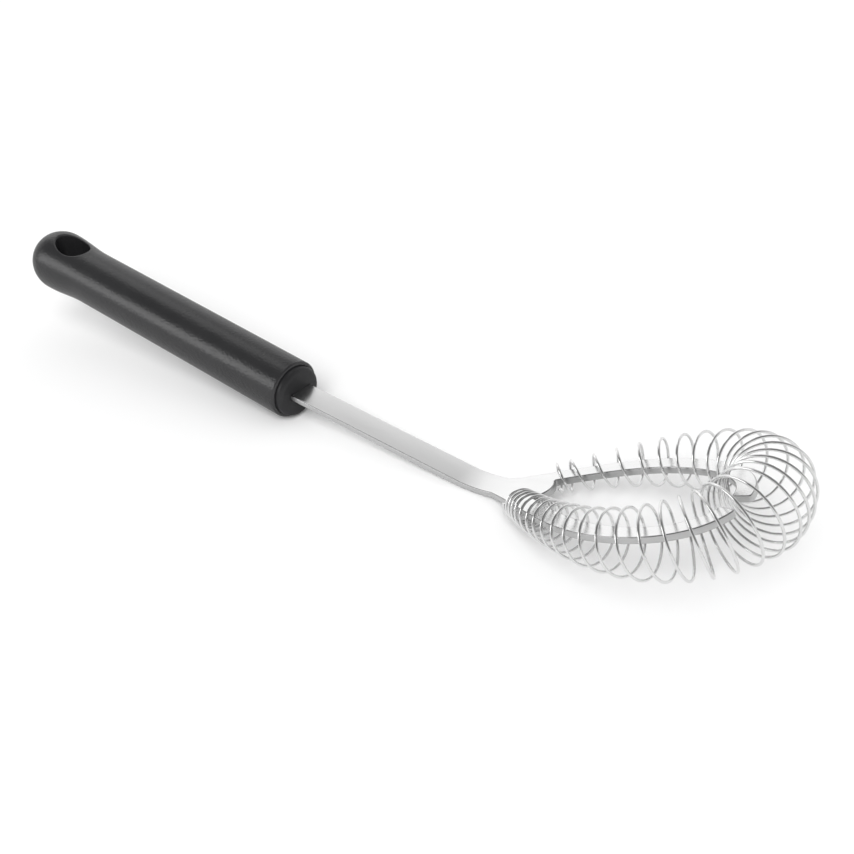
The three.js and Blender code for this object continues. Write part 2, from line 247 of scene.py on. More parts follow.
class NodeSketch:
    """Short hand for laying nodes out in one tree."""

    def __init__(self, tree: NodeTree) -> None:
        """Starts with an empty tree."""
        self.tree = tree
        tree.nodes.clear()

    def feed(self, socket: NodeSocket, value: object) -> None:
        """Links a socket to another, or sets its plain value.

        Args:
            socket: Input to feed.
            value: Output to link, or plain value.
        """
        if isinstance(value, NodeSocket):
            self.tree.links.new(value, socket)
        else:
            socket.default_value = value

    def node(self, kind: str, feeds: Feeds | None = None, **values: object) -> Node:
        """A new node.

        Args:
            kind: Type of the node.
            feeds: Sockets or plain values for its inputs, by their names or numbers.
            values: Plain properties, which are set before the inputs.

        Returns:
            The node.
        """
        made = self.tree.nodes.new(kind)
        for name, value in values.items():
            setattr(made, name, value)
        for label, value in (feeds or {}).items():
            self.feed(made.inputs[label], value)
        return made

    def math(self, operation: str, first: object, second: object = 0.0) -> NodeSocket:
        """A math node on two sockets or numbers, and its output."""
        return self.node("ShaderNodeMath", {0: first, 1: second}, operation=operation).outputs[0]

    def vector(self, operation: str, first: object, second: object) -> NodeSocket:
        """A vector math node on two sockets or values.

        Args:
            operation: What the node does.
            first: Its first input.
            second: Its second input, or the number that it scales by.

        Returns:
            The node's output.
        """
        feeds = {0: first, 3 if operation == "SCALE" else 1: second}
        made = self.node("ShaderNodeVectorMath", feeds, operation=operation)
        return made.outputs["Value" if operation == "DOT_PRODUCT" else "Vector"]

    def spread(
        self, value: object, low: float, high: float, start: float = 0.0, end: float = 1.0
    ) -> NodeSocket:
        """A value spread between two numbers.

        Args:
            value: Socket or number to spread.
            low: Result at the start.
            high: Result at the end.
            start: Value that gives the low result.
            end: Value that gives the high result.

        Returns:
            The spread value's socket.
        """
        feeds = {"Value": value, "From Min": start, "From Max": end, "To Min": low, "To Max": high}
        return self.node("ShaderNodeMapRange", feeds).outputs["Result"]

    def blend(self, share: object, low: Triple, high: Triple) -> NodeSocket:
        """A colour between two others."""
        feeds = {"Factor": share, 6: (*low, 1.0), 7: (*high, 1.0)}
        return self.node("ShaderNodeMix", feeds, data_type="RGBA").outputs[2]

    def height(self, place: NodeSocket) -> NodeSocket:
        """The third number of a vector."""
        return self.node("ShaderNodeSeparateXYZ", {"Vector": place}).outputs["Z"]

    def surface(
        self, colour: NodeSocket, roughness: NodeSocket, relief: NodeSocket, depth: float
    ) -> Node:
        """A Principled shader on the material's output.

        Args:
            colour: Base colour.
            roughness: Roughness.
            relief: Height that the bump follows.
            depth: Depth of that relief, in metres.

        Returns:
            The shader.
        """
        bump = self.node("ShaderNodeBump", {"Strength": 1.0, "Distance": depth, "Height": relief})
        feeds = {"Base Color": colour, "Roughness": roughness, "Normal": bump.outputs["Normal"]}
        shader = self.node("ShaderNodeBsdfPrincipled", feeds)
        self.node("ShaderNodeOutputMaterial", {"Surface": shader.outputs["BSDF"]})
        return shader


def new_material(name: str) -> tuple[Material, NodeSketch]:
    """A new material with an empty tree.

    Args:
        name: Name of the material.

    Returns:
        The material, and the sketch of its tree.
    """
    material = bpy.data.materials.new(name)
    material.use_nodes = True
    return material, NodeSketch(material.node_tree)


def noise_group(name: str, layers: dict[str, float]) -> NodeTree:
    """A shader group of noise layers that are stretched each in its own way.

    Args:
        name: Name of the group.
        layers: Detail of the noise for each layer's name.

    Returns:
        A group with the input Place, and for each layer an input for its scale and an output.
    """
    tree = bpy.data.node_groups.new(name, "ShaderNodeTree")
    tree.interface.new_socket("Place", in_out="INPUT", socket_type="NodeSocketVector")
    for label in layers:
        tree.interface.new_socket(f"{label} Scale", in_out="INPUT", socket_type="NodeSocketVector")
        tree.interface.new_socket(label, in_out="OUTPUT", socket_type="NodeSocketFloat")
    sketch = NodeSketch(tree)
    source = sketch.node("NodeGroupInput").outputs
    target = sketch.node("NodeGroupOutput").inputs
    for label, detail in layers.items():
        place = sketch.vector("MULTIPLY", source["Place"], source[f"{label} Scale"])
        noise = sketch.node("ShaderNodeTexNoise", {"Vector": place, "Scale": 1.0, "Detail": detail})
        sketch.feed(target[label], noise.outputs["Fac"])
    return tree


@dataclass(frozen=True)
class PlasticFinish:
    """Moulded plastic with a fine grain.

    Attributes:
        name: Name of the material.
        dark: Colour of the darker patches.
        light: Colour of the lighter patches.
        roughness: Least and greatest roughness.
        grain_scale: Grains in a metre.
        cloud_scale: Broad patches in a metre.
        grain_depth: Depth of the grain, in metres.
        specular: Strength of the gloss.
        edge_specular: Strength of the gloss seen at a glance, where the grain hides it.
        glance: Where the gloss starts and ends to fade, from nought seen square on to one seen edge on.
    """

    name: str
    dark: Triple
    light: Triple
    roughness: Pair
    grain_scale: float
    cloud_scale: float
    grain_depth: float
    specular: float
    edge_specular: float = 0.04
    glance: Pair = (0.12, 0.8)

    def material(self, grain: NodeTree) -> Material:
        """The finish as a material that reads Object coordinates.

        Args:
            grain: Group that makes the grain and the cloudiness.

        Returns:
            The material.
        """
        material, sketch = new_material(self.name)
        feeds = {
            "Place": sketch.node("ShaderNodeTexCoord").outputs["Object"],
            "Grain Scale": (self.grain_scale,) * 3,
            "Cloud Scale": (self.cloud_scale,) * 3,
        }
        effect = sketch.node("ShaderNodeGroup", feeds, node_tree=grain).outputs
        colour = sketch.blend(effect["Cloud"], self.dark, self.light)
        roughness = sketch.spread(effect["Cloud"], *self.roughness)
        shader = sketch.surface(colour, roughness, effect["Grain"], self.grain_depth)
        facing = sketch.node("ShaderNodeLayerWeight").outputs["Facing"]
        gloss = sketch.spread(facing, self.specular, self.edge_specular, *self.glance)
        sketch.feed(shader.inputs["Specular IOR Level"], gloss)
        return material


@dataclass(frozen=True)
class SteelFinish:
    """Stainless steel with fine streaks along its length.

    Attributes:
        name: Name of the material.
        dark: Colour of the duller patches.
        light: Colour of the brighter patches.
        roughness: Least and greatest roughness of the streaks.
        streak_scale: Streaks in a millimetre along, across and over the piece's own place attribute.
        cloud_scale: Broad patches in a millimetre, the same way.
        streak_depth: Depth of the streaks, in metres.
        place: Name of the mesh attribute that the streaks follow.
        face_height: Height in that attribute where the bright face starts, or nought for no sides.
        corner_height: Height where the rounded corner's band of painted shade starts, with sheared sides
            below it.
        corner_shade: Share of the colour that is left on the rounded corner, painted shade that draws a
            dark line along the edge and dims the lamp's highlight there.
        sheared_dull_and_shade: Share of the colour that is left on the sheared sides, partly for their
            duller sheared finish and partly as painted shade of the shaded table that they reflect.
        sheared_roughness: Roughness that the sheared sides add.
    """

    name: str
    dark: Triple
    light: Triple
    roughness: Pair
    streak_scale: Triple
    cloud_scale: Triple
    streak_depth: float
    place: str
    face_height: float = 0.0
    corner_height: float = 0.0
    corner_shade: float = 1.0
    sheared_dull_and_shade: float = 1.0
    sheared_roughness: float = 0.0

    def material(self, streaks: NodeTree) -> Material:
        """The finish as a material that reads the piece's own place attribute.

        Args:
            streaks: Group that makes the streaks and the cloudiness.

        Returns:
            The material.
        """
        material, sketch = new_material(self.name)
        reader = sketch.node("ShaderNodeAttribute", attribute_type="GEOMETRY", attribute_name=self.place)
        place = reader.outputs["Vector"]
        feeds = {"Place": place, "Streak Scale": self.streak_scale, "Cloud Scale": self.cloud_scale}
        effect = sketch.node("ShaderNodeGroup", feeds, node_tree=streaks).outputs
        colour = sketch.blend(effect["Cloud"], self.dark, self.light)
        roughness = sketch.spread(effect["Streak"], *self.roughness)
        # Painted shade: the rounded corner band keeps only part of its colour, which draws a dark line
        # along the edge and dims the lamp's highlight there.
        if self.face_height > 0:
            height = sketch.math("ABSOLUTE", sketch.height(place))
            side = sketch.math("LESS_THAN", height, self.corner_height)
            below_face = sketch.math("LESS_THAN", height, self.face_height)
            # The sheared sides keep less colour, partly for their duller sheared finish and partly as
            # painted shade of the shaded table that they reflect.
            side_share = self.sheared_dull_and_shade / self.corner_shade
            for mask, share in ((below_face, self.corner_shade), (side, side_share)):
                colour = sketch.vector("SCALE", colour, sketch.spread(mask, 1.0, share))
            rougher = sketch.math("MULTIPLY", side, self.sheared_roughness)
            roughness = sketch.math("ADD", roughness, rougher)
        shader = sketch.surface(colour, roughness, effect["Streak"], self.streak_depth)
        shader.inputs["Metallic"].default_value = 1.0
        return material


GRAIN_LAYERS = {"Grain": 2.0, "Cloud": 3.0}
STREAK_LAYERS = {"Streak": 4.0, "Cloud": 2.0}
MATTE_BLACK = PlasticFinish(
    name="matte_black_plastic",
    dark=(0.014, 0.014, 0.015),
    light=(0.022, 0.022, 0.023),
    roughness=(0.20, 0.27),
    grain_scale=1500.0,
    cloud_scale=90.0,
    grain_depth=0.000100,
    specular=0.5,
)
SATIN_BLACK = PlasticFinish(
    name="satin_black_plastic",
    dark=(0.010, 0.010, 0.011),
    light=(0.017, 0.017, 0.018),
    roughness=(0.36, 0.46),
    grain_scale=1700.0,
    cloud_scale=140.0,
    grain_depth=0.000060,
    specular=0.35,
)
SATIN_STEEL = SteelFinish(
    name="satin_strip_steel",
    dark=(0.69, 0.69, 0.69),
    light=(0.77, 0.77, 0.77),
    roughness=(0.17, 0.27),
    streak_scale=(0.12, 9.0, 9.0),
    cloud_scale=(0.06, 0.25, 0.25),
    streak_depth=0.000001,
    place="strip_place",
    face_height=0.972,
    corner_height=0.74,
    # Painted shade on the rounded corner band.
    corner_shade=0.5,
    # Sheared sides: partly a duller finish, partly painted shade.
    sheared_dull_and_shade=0.7,
    sheared_roughness=0.2,
)
BRIGHT_WIRE = SteelFinish(
    name="bright_drawn_wire",
    dark=(0.65, 0.65, 0.65),
    light=(0.75, 0.75, 0.75),
    roughness=(0.06, 0.12),
    streak_scale=(0.15, 6.0, 6.0),
    cloud_scale=(0.20, 1.0, 1.0),
    streak_depth=0.000002,
    place="wire_place",
)


@dataclass
class Handle:
    """Hollow moulded handle with a bulb end, a rounded mouth and an oval hanging hole, in millimetres."""

    length: float = 125.5
    radius: float = 9.1
    rim_round: float = 0.8
    bulb_radius: float = 10.25
    bulb_cap: float = 10.5
    bulb_blend: float = 17.5
    hole_half_length: float = 7.0
    hole_half_width: float = 4.8
    hole_from_end: float = 18.1
    hole_round: float = 0.55
    hole_window: float = 10.0
    wall: float = 2.6
    bore_end_wall: float = 14.0
    seat_radius: float = 8.1
    seat_depth: float = 3.0
    skin_margin: float = 0.02
    divisions: int = 96
    window_half: int = 14
    window_steps: int = 24
    cap_steps: int = 18
    blend_steps: int = 4
    grip_steps: int = 24
    rim_steps: int = 7
    patch_rings: int = 7
    round_steps: int = 6
    hole_steps: int = 10
    sharp_angle: float = 50.0

    def outer_radius(self, x: Points) -> Points:
        """Radius of the outside at places along the handle.

        Args:
            x: Places along the handle, nought at the front rim and less towards the bulb.

        Returns:
            The radius at each place, without the rounding of the rim.
        """
        x = np.asarray(x, float)
        bulb_at = self.bulb_cap - self.length
        across = np.clip((x - bulb_at) / (self.bulb_cap - self.skin_margin), -1, 0)
        cap = self.bulb_radius * np.sqrt(1 - across**2)
        ease = 0.5 - 0.5 * np.cos(np.pi * np.clip((x - bulb_at) / self.bulb_blend, 0, 1))
        skin = np.where(x < bulb_at, cap, lerp(self.bulb_radius, self.radius, ease))
        return np.maximum(skin - self.skin_margin, 0)

    def around(self, x: Points, angle: Points) -> Points:
        """Points of the outside.

        Args:
            x: Places along the handle.
            angle: Angles from the top.

        Returns:
            A point for each place and angle.
        """
        radius = self.outer_radius(x)
        along = np.broadcast_to(x, np.shape(radius))
        return np.stack([along, radius * np.sin(angle), radius * np.cos(angle)], -1)

    def grip_stations(self) -> tuple[Points, int]:
        """Places of the rings along the outside, after the bulb's pole.

        Returns:
            The places, and the number of the ring where the hole's window starts.
        """
        bulb_at = self.bulb_cap - self.length
        hole_at = self.hole_from_end - self.length
        first, last = hole_at - self.hole_window, hole_at + self.hole_window
        reach = self.bulb_cap - self.skin_margin
        start = math.acos((first - bulb_at) / reach)
        cap = bulb_at + reach * np.cos(np.linspace(math.pi, start, self.cap_steps + 1))[1:-1]
        window = np.linspace(first, last, self.window_steps + 1)
        blend = np.linspace(last, bulb_at + self.bulb_blend, self.blend_steps + 1)[1:]
        grip = np.linspace(bulb_at + self.bulb_blend, -self.rim_round, self.grip_steps + 1)[1:]
        return np.concatenate([cap, window, blend, grip]), len(cap)

    def mouth_profile(self) -> list[Pair]:
        """Rim, seat and bore of the mouth.

        Returns:
            Places along and radii, from the outside inwards.
        """
        bend, middle = self.rim_round, self.radius - self.skin_margin - self.rim_round
        turns = np.linspace(math.pi / 2, 0, self.rim_steps + 1)[1:]
        rim = [(bend * (math.cos(a) - 1), middle + bend * math.sin(a)) for a in turns]
        bore = self.radius - self.wall
        depth = self.length - self.hole_from_end - self.hole_half_length - self.bore_end_wall
        return [
            *rim,
            (0.0, self.seat_radius),
            (-self.seat_depth, self.seat_radius),
            (-self.seat_depth, bore),
            (-depth, bore),
        ]

    def skin(self) -> Shell:
        """The handle's whole skin, with the hole's mouths let into it.

        Returns:
            A closed skin.
        """
        shell = Shell()
        angles = 2 * np.pi * np.arange(self.divisions) / self.divisions
        stations, window = self.grip_stations()
        rings = [shell.ring(self.around(np.full(self.divisions, x), angles)) for x in stations]
        shell.fan(rings[0], (self.skin_margin - self.length, 0, 0))
        half_turn = self.divisions // 2
        for row in range(len(rings) - 1):
            in_window = window <= row < window + self.window_steps
            for i in range(self.divisions):
                side = (i + self.window_half) % half_turn
                if in_window and side < 2 * self.window_half:
                    continue
                j = (i + 1) % self.divisions
                shell.faces.append((rings[row][i], rings[row][j], rings[row + 1][j], rings[row + 1][i]))
        last = rings[-1]
        for x, radius in self.mouth_profile():
            ring = shell.ring([(x, radius * math.sin(a), radius * math.cos(a)) for a in angles])
            shell.bridge(last, ring)
            last = ring
        depth_x = shell.points[last[0]][0]
        shell.fan(last, (depth_x, 0, 0))
        self.let_in_hole(shell, rings, stations, window)
        return shell

    def let_in_hole(self, shell: Shell, rings: list[Ring], stations: Points, window: int) -> None:
        """Fills both windows with rings that run to the hole's rounded edge, and joins them by its wall.

        Args:
            shell: Skin that is being made.
            rings: Vertex numbers of the outside's rings.
            stations: Places of those rings.
            window: Number of the ring where the window starts.
        """
        half, steps = self.window_half, self.window_steps
        border = [(i, -half) for i in range(steps)]
        border += [(steps, j) for j in range(-half, half)]
        border += [(i, half) for i in range(steps, 0, -1)]
        border += [(0, j) for j in range(half, -half, -1)]
        hole_at = self.hole_from_end - self.length
        x = np.array([stations[window + i] for i, _ in border])
        angle = np.array([2 * np.pi * j / self.divisions for _, j in border])
        long, wide = self.hole_half_length, self.hole_half_width
        bearing = np.arctan2(angle * self.outer_radius(hole_at) / wide, (x - hole_at) / long)
        edge_x = hole_at + (long + self.hole_round) * np.cos(bearing)
        edge_angle = np.arcsin((wide + self.hole_round) * np.sin(bearing) / self.outer_radius(edge_x))
        rim_x = hole_at + long * np.cos(bearing)
        rim_y = wide * np.sin(bearing)
        rim = np.stack([rim_x, rim_y, np.sqrt(self.outer_radius(rim_x) ** 2 - rim_y**2)], -1)
        edge = self.around(edge_x, edge_angle)
        low = rim - np.array([0, 0, self.hole_round])
        mirror = {key: number for number, key in enumerate(border)}
        partner = [mirror[(i, -j)] for i, j in border]
        mouths = []
        for sign, turn in ((1, 0), (-1, self.divisions // 2)):
            flip = np.array([1, sign, sign])
            ring = [rings[window + i][(j + turn) % self.divisions] for i, j in border]
            for k in range(1, self.patch_rings):
                share = k / self.patch_rings
                points = self.around(lerp(x, edge_x, share), lerp(angle, edge_angle, share)) * flip
                ring = self.step(shell, ring, points)
            for k in range(self.round_steps + 1):
                share = k / self.round_steps
                points = lerp(lerp(edge, rim, share), lerp(rim, low, share), share) * flip
                ring = self.step(shell, ring, points)
            mouths.append(ring)
        top, bottom = mouths[0], [mouths[1][number] for number in partner]
        for k in range(1, self.hole_steps):
            depth = low * np.array([1, 1, lerp(1, -1, k / self.hole_steps)])
            top = self.step(shell, top, depth)
        shell.bridge(top, bottom)

    @staticmethod
    def step(shell: Shell, ring: Ring, points: Points) -> Ring:
        """Adds one more ring, joined to the last.

        Args:
            shell: Skin that is being made.
            ring: Vertex numbers of the last ring.
            points: Places of the new one.

        Returns:
            Vertex numbers of the new ring.
        """
        new = shell.ring(points)
        shell.bridge(ring, new)
        return new

    def build(self, tool: ToolFrame, finish: Material) -> Object:
        """The finished handle in its place."""
        mesh = self.skin().mesh("whisk_handle", tool, self.sharp_angle)
        return whisk_piece(mesh, finish, "handle")


@dataclass
class MouthPlug:
    """Plug with a proud rounded face in the handle's mouth, slotted for the strip, in millimetres."""

    flange_radius: float = 8.0
    flange_thickness: float = 2.7
    spigot_radius: float = 6.2
    spigot_length: float = 11.0
    proud: float = 0.8
    edge_round: float = 1.6
    edge_end: float = math.radians(12)
    dome: float = 0.63
    slot_half_width: float = 4.02
    slot_half_height: float = 1.0
    slot_lift: float = 0.5
    slot_round: float = 0.03
    wide_steps: int = 36
    high_steps: int = 12
    edge_steps: int = 6
    face_rings: int = 10
    round_steps: int = 3
    sharp_angle: float = 40.0

    def slot_ring(self, grow: float) -> Points:
        """Points round the slot in the plug's face.

        Args:
            grow: Margin that the slot is grown by.

        Returns:
            Side and height of each point.
        """
        y, z = self.slot_half_width + grow, self.slot_half_height + grow
        wide = np.linspace(y, -y, self.wide_steps + 1)[:-1]
        high = np.linspace(z, -z, self.high_steps + 1)[:-1]
        top = np.stack([wide, np.full(len(wide), z)], -1)
        left = np.stack([np.full(len(high), -y), high], -1)
        return np.concatenate([top, left, -top, -left]) + np.array([0, self.slot_lift])

    def circle_ring(self, radius: float) -> Points:
        """Points round a circle that face the slot's points.

        Args:
            radius: Radius of the circle.

        Returns:
            Side and height of each point.
        """
        corner = math.atan2(self.slot_half_height, self.slot_half_width)
        wide = np.linspace(corner, math.pi - corner, self.wide_steps + 1)[:-1]
        high = np.linspace(math.pi - corner, math.pi + corner, self.high_steps + 1)[:-1]
        half = np.concatenate([wide, high])
        bearing = np.concatenate([half, half + math.pi])
        return radius * np.stack([np.cos(bearing), np.sin(bearing)], -1)

    def dome_height(self, points: Points) -> Points:
        """How far the domed face stands out at points of the face."""
        edge_x = self.proud + self.edge_round * math.cos(self.edge_end)
        return edge_x + self.dome * (1 - (np.linalg.norm(points, axis=1) / self.dome_edge()) ** 2)

    def dome_edge(self) -> float:
        """Radius where the dome meets the rounded edge."""
        return self.flange_radius - self.edge_round + self.edge_round * math.sin(self.edge_end)

    def skin(self) -> Shell:
        """The plug's whole skin, from the slot's back over the spigot and the face into the slot.

        Returns:
            A closed skin.
        """
        shell = Shell()
        back = -(self.flange_thickness + self.spigot_length)
        bend = self.edge_round
        outer = [(back, self.spigot_radius), (-self.flange_thickness, self.spigot_radius)]
        outer.append((-self.flange_thickness, self.flange_radius))
        for a in np.linspace(math.pi / 2, self.edge_end, self.edge_steps + 1):
            edge_radius = self.flange_radius - bend + bend * math.sin(a)
            outer.append((self.proud + bend * math.cos(a), edge_radius))
        slot = self.slot_ring(0.0)
        loops = [(np.full(len(slot), back), slot)]
        loops += [(np.full(len(slot), x), self.circle_ring(radius)) for x, radius in outer]
        lip = self.slot_ring(self.slot_round)
        edge = self.circle_ring(self.dome_edge())
        for k in range(1, self.face_rings + 1):
            face = lerp(edge, lip, k / self.face_rings)
            loops.append((self.dome_height(face), face))
        rim_height = self.dome_height(slot)
        for k in range(1, self.round_steps + 1):
            turn = math.pi / 2 * k / self.round_steps
            grow = self.slot_round * (1 - math.sin(turn))
            loops.append((rim_height - self.slot_round * (1 - math.cos(turn)), self.slot_ring(grow)))
        rings = [shell.ring(np.column_stack([x, points])) for x, points in loops]
        for first, second in zip(rings, rings[1:] + rings[:1]):
            shell.bridge(first, second)
        return shell

    def build(self, tool: ToolFrame, finish: Material) -> Object:
        """The finished plug in its place."""
        mesh = self.skin().mesh("mouth_plug", tool, self.sharp_angle)
        return whisk_piece(mesh, finish, "front_plug")


@dataclass
class StripPath:
    """Middle line of the bent strip in the tool's XZ plane, in millimetres and radians."""

    tang_length: float = 52.0
    straight_past_rim: float = 4.0
    lift: float = 0.5
    mouth_bend_angle: float = math.radians(2.5)
    mouth_bend_radius: float = 60.0
    shank_length: float = 61.5
    head_bend_angle: float = math.radians(23)
    head_bend_radius: float = 45.0
    fork_lead: float = 4.5
    stretches: list[Pair] = field(init=False)

    def __post_init__(self) -> None:
        """Lists the stretches as lengths and turns, from the tang's end to the fork."""
        self.mouth_bend = self.mouth_bend_radius * self.mouth_bend_angle
        self.head_bend = self.head_bend_radius * self.head_bend_angle
        self.stretches = [
            (self.tang_length + self.straight_past_rim, 0.0),
            (self.mouth_bend, self.mouth_bend_angle),
            (self.shank_length, 0.0),
            (self.head_bend, self.head_bend_angle),
        ]
        self.head_bend_end = sum(length for length, _ in self.stretches)
        self.fork_start = self.head_bend_end - self.fork_lead

    def line(self, distance: Points) -> tuple[Points, Points, Points]:
        """Place and heading of the middle line.

        Args:
            distance: Distances from the tang's end.

        Returns:
            The x and z places and the headings.
        """
        left = np.asarray(distance, float)
        x = np.full(left.shape, -self.tang_length)
        z = np.full(left.shape, self.lift)
        heading = np.zeros(left.shape)
        for length, turn in [*self.stretches, (math.inf, 0.0)]:
            run = np.minimum(left, length)
            swing = turn * run / length
            chord = run * np.sinc(swing / (2 * np.pi))
            x = x + chord * np.cos(heading + swing / 2)
            z = z + chord * np.sin(heading + swing / 2)
            heading = heading + swing
            left = left - run
        return x, z, heading

    def bent(self, flat: Points) -> Points:
        """Flat points bent to their place in the tool.

        Args:
            flat: Distance along, side and height of each point.

        Returns:
            Places in the tool.
        """
        flat = np.asarray(flat, float)
        x, z, heading = self.line(flat[..., 0])
        height = flat[..., 2]
        return np.stack([x - height * np.sin(heading), flat[..., 1], z + height * np.cos(heading)], -1)

    def rest_tilt(self, thickness: float, handle: Handle) -> float:
        """Tilt that brings the handle's front rim and the underside of the head bend to one level.

        Args:
            thickness: Thickness of the strip.
            handle: Handle whose rim touches the table.

        Returns:
            The tilt in radians.
        """
        bend_start = np.array(self.head_bend_end - self.head_bend)
        x, z, heading = (float(value) for value in self.line(bend_start))
        reach = self.head_bend_radius + thickness / 2 - handle.rim_round
        dx = x - self.head_bend_radius * math.sin(heading) + handle.rim_round
        dz = z + self.head_bend_radius * math.cos(heading) + handle.radius - handle.rim_round
        return math.atan2(dz, dx) - math.asin(reach / math.hypot(dx, dz))


@dataclass
class ForkLoop:
    """Outline of the fork's loop on its far side, in millimetres from where the strip widens."""

    length: float = 80.8
    half_width: float = 19.75
    widest_at: float = 51.5
    root_half_width: float = 4.0
    flare_power: float = 1.16
    tip_power: float = 2.27
    prong_width: float = 5.1
    tip_gap: float = 6.5
    crotch_at: float = 18.7
    crotch_bow: float = 1.8
    crotch_half_width: float = 4.2
    normal_reach: float = 0.004
    samples: int = 4001

    def outer(self, t: Points) -> Points:
        """Outer edge of the loop.

        Args:
            t: Values from nought at the bend to one at the tip.

        Returns:
            Distance along and side at each value.
        """
        t = np.asarray(t, float)
        flare = np.sin(np.pi / 2 * np.clip(2 * t, 0, 1) ** self.flare_power)
        angle = np.clip(2 * t - 1, 0, 1) * np.pi / 2
        power = 2 / self.tip_power
        tip_along = self.widest_at + (self.length - self.widest_at) * np.sin(angle) ** power
        tip_side = self.half_width * np.maximum(np.cos(angle), 0) ** power
        along = np.where(t < 0.5, 2 * t * self.widest_at, tip_along)
        side = np.where(t < 0.5, lerp(self.root_half_width, self.half_width, flare), tip_side)
        return np.stack([along, side], -1)

    def outward(self, t: Points) -> Points:
        """Outward direction of the edge, square to it.

        Args:
            t: Values from nought at the bend to one at the tip.

        Returns:
            A direction of length one at each value.
        """
        t = np.asarray(t, float)
        past = t + self.normal_reach > 1
        after = self.outer(np.where(past, 2 - t - self.normal_reach, t + self.normal_reach))
        after = after * np.stack([np.ones(t.shape), np.where(past, -1, 1)], -1)
        heading = after - self.outer(np.maximum(t - self.normal_reach, 0))
        heading = heading / np.linalg.norm(heading, axis=-1, keepdims=True)
        return np.stack([-heading[..., 1], heading[..., 0]], -1)

    def inset(self, t: Points, depth: float) -> Points:
        """The edge drawn in by a depth."""
        return self.outer(t) - depth * self.outward(t)

    def crotch_edge(self, side: Points) -> Points:
        """How far along the crotch's bowed edge lies at a side distance."""
        return self.crotch_at - self.crotch_bow * (side / self.crotch_half_width) ** 2

    def prong_range(self) -> Pair:
        """Where a prong runs on the loop.

        Returns:
            The values where it starts at the crotch and ends at its cut end.
        """
        end_angle = math.acos((self.tip_gap / 2 / self.half_width) ** (self.tip_power / 2))
        end = (1 + end_angle / (math.pi / 2)) / 2
        t = np.linspace(0, end, self.samples)
        inner = self.inset(t, self.prong_width)
        root = t[np.flatnonzero(inner[:, 0] < self.crotch_edge(inner[:, 1]))[-1]]
        return float(root), end


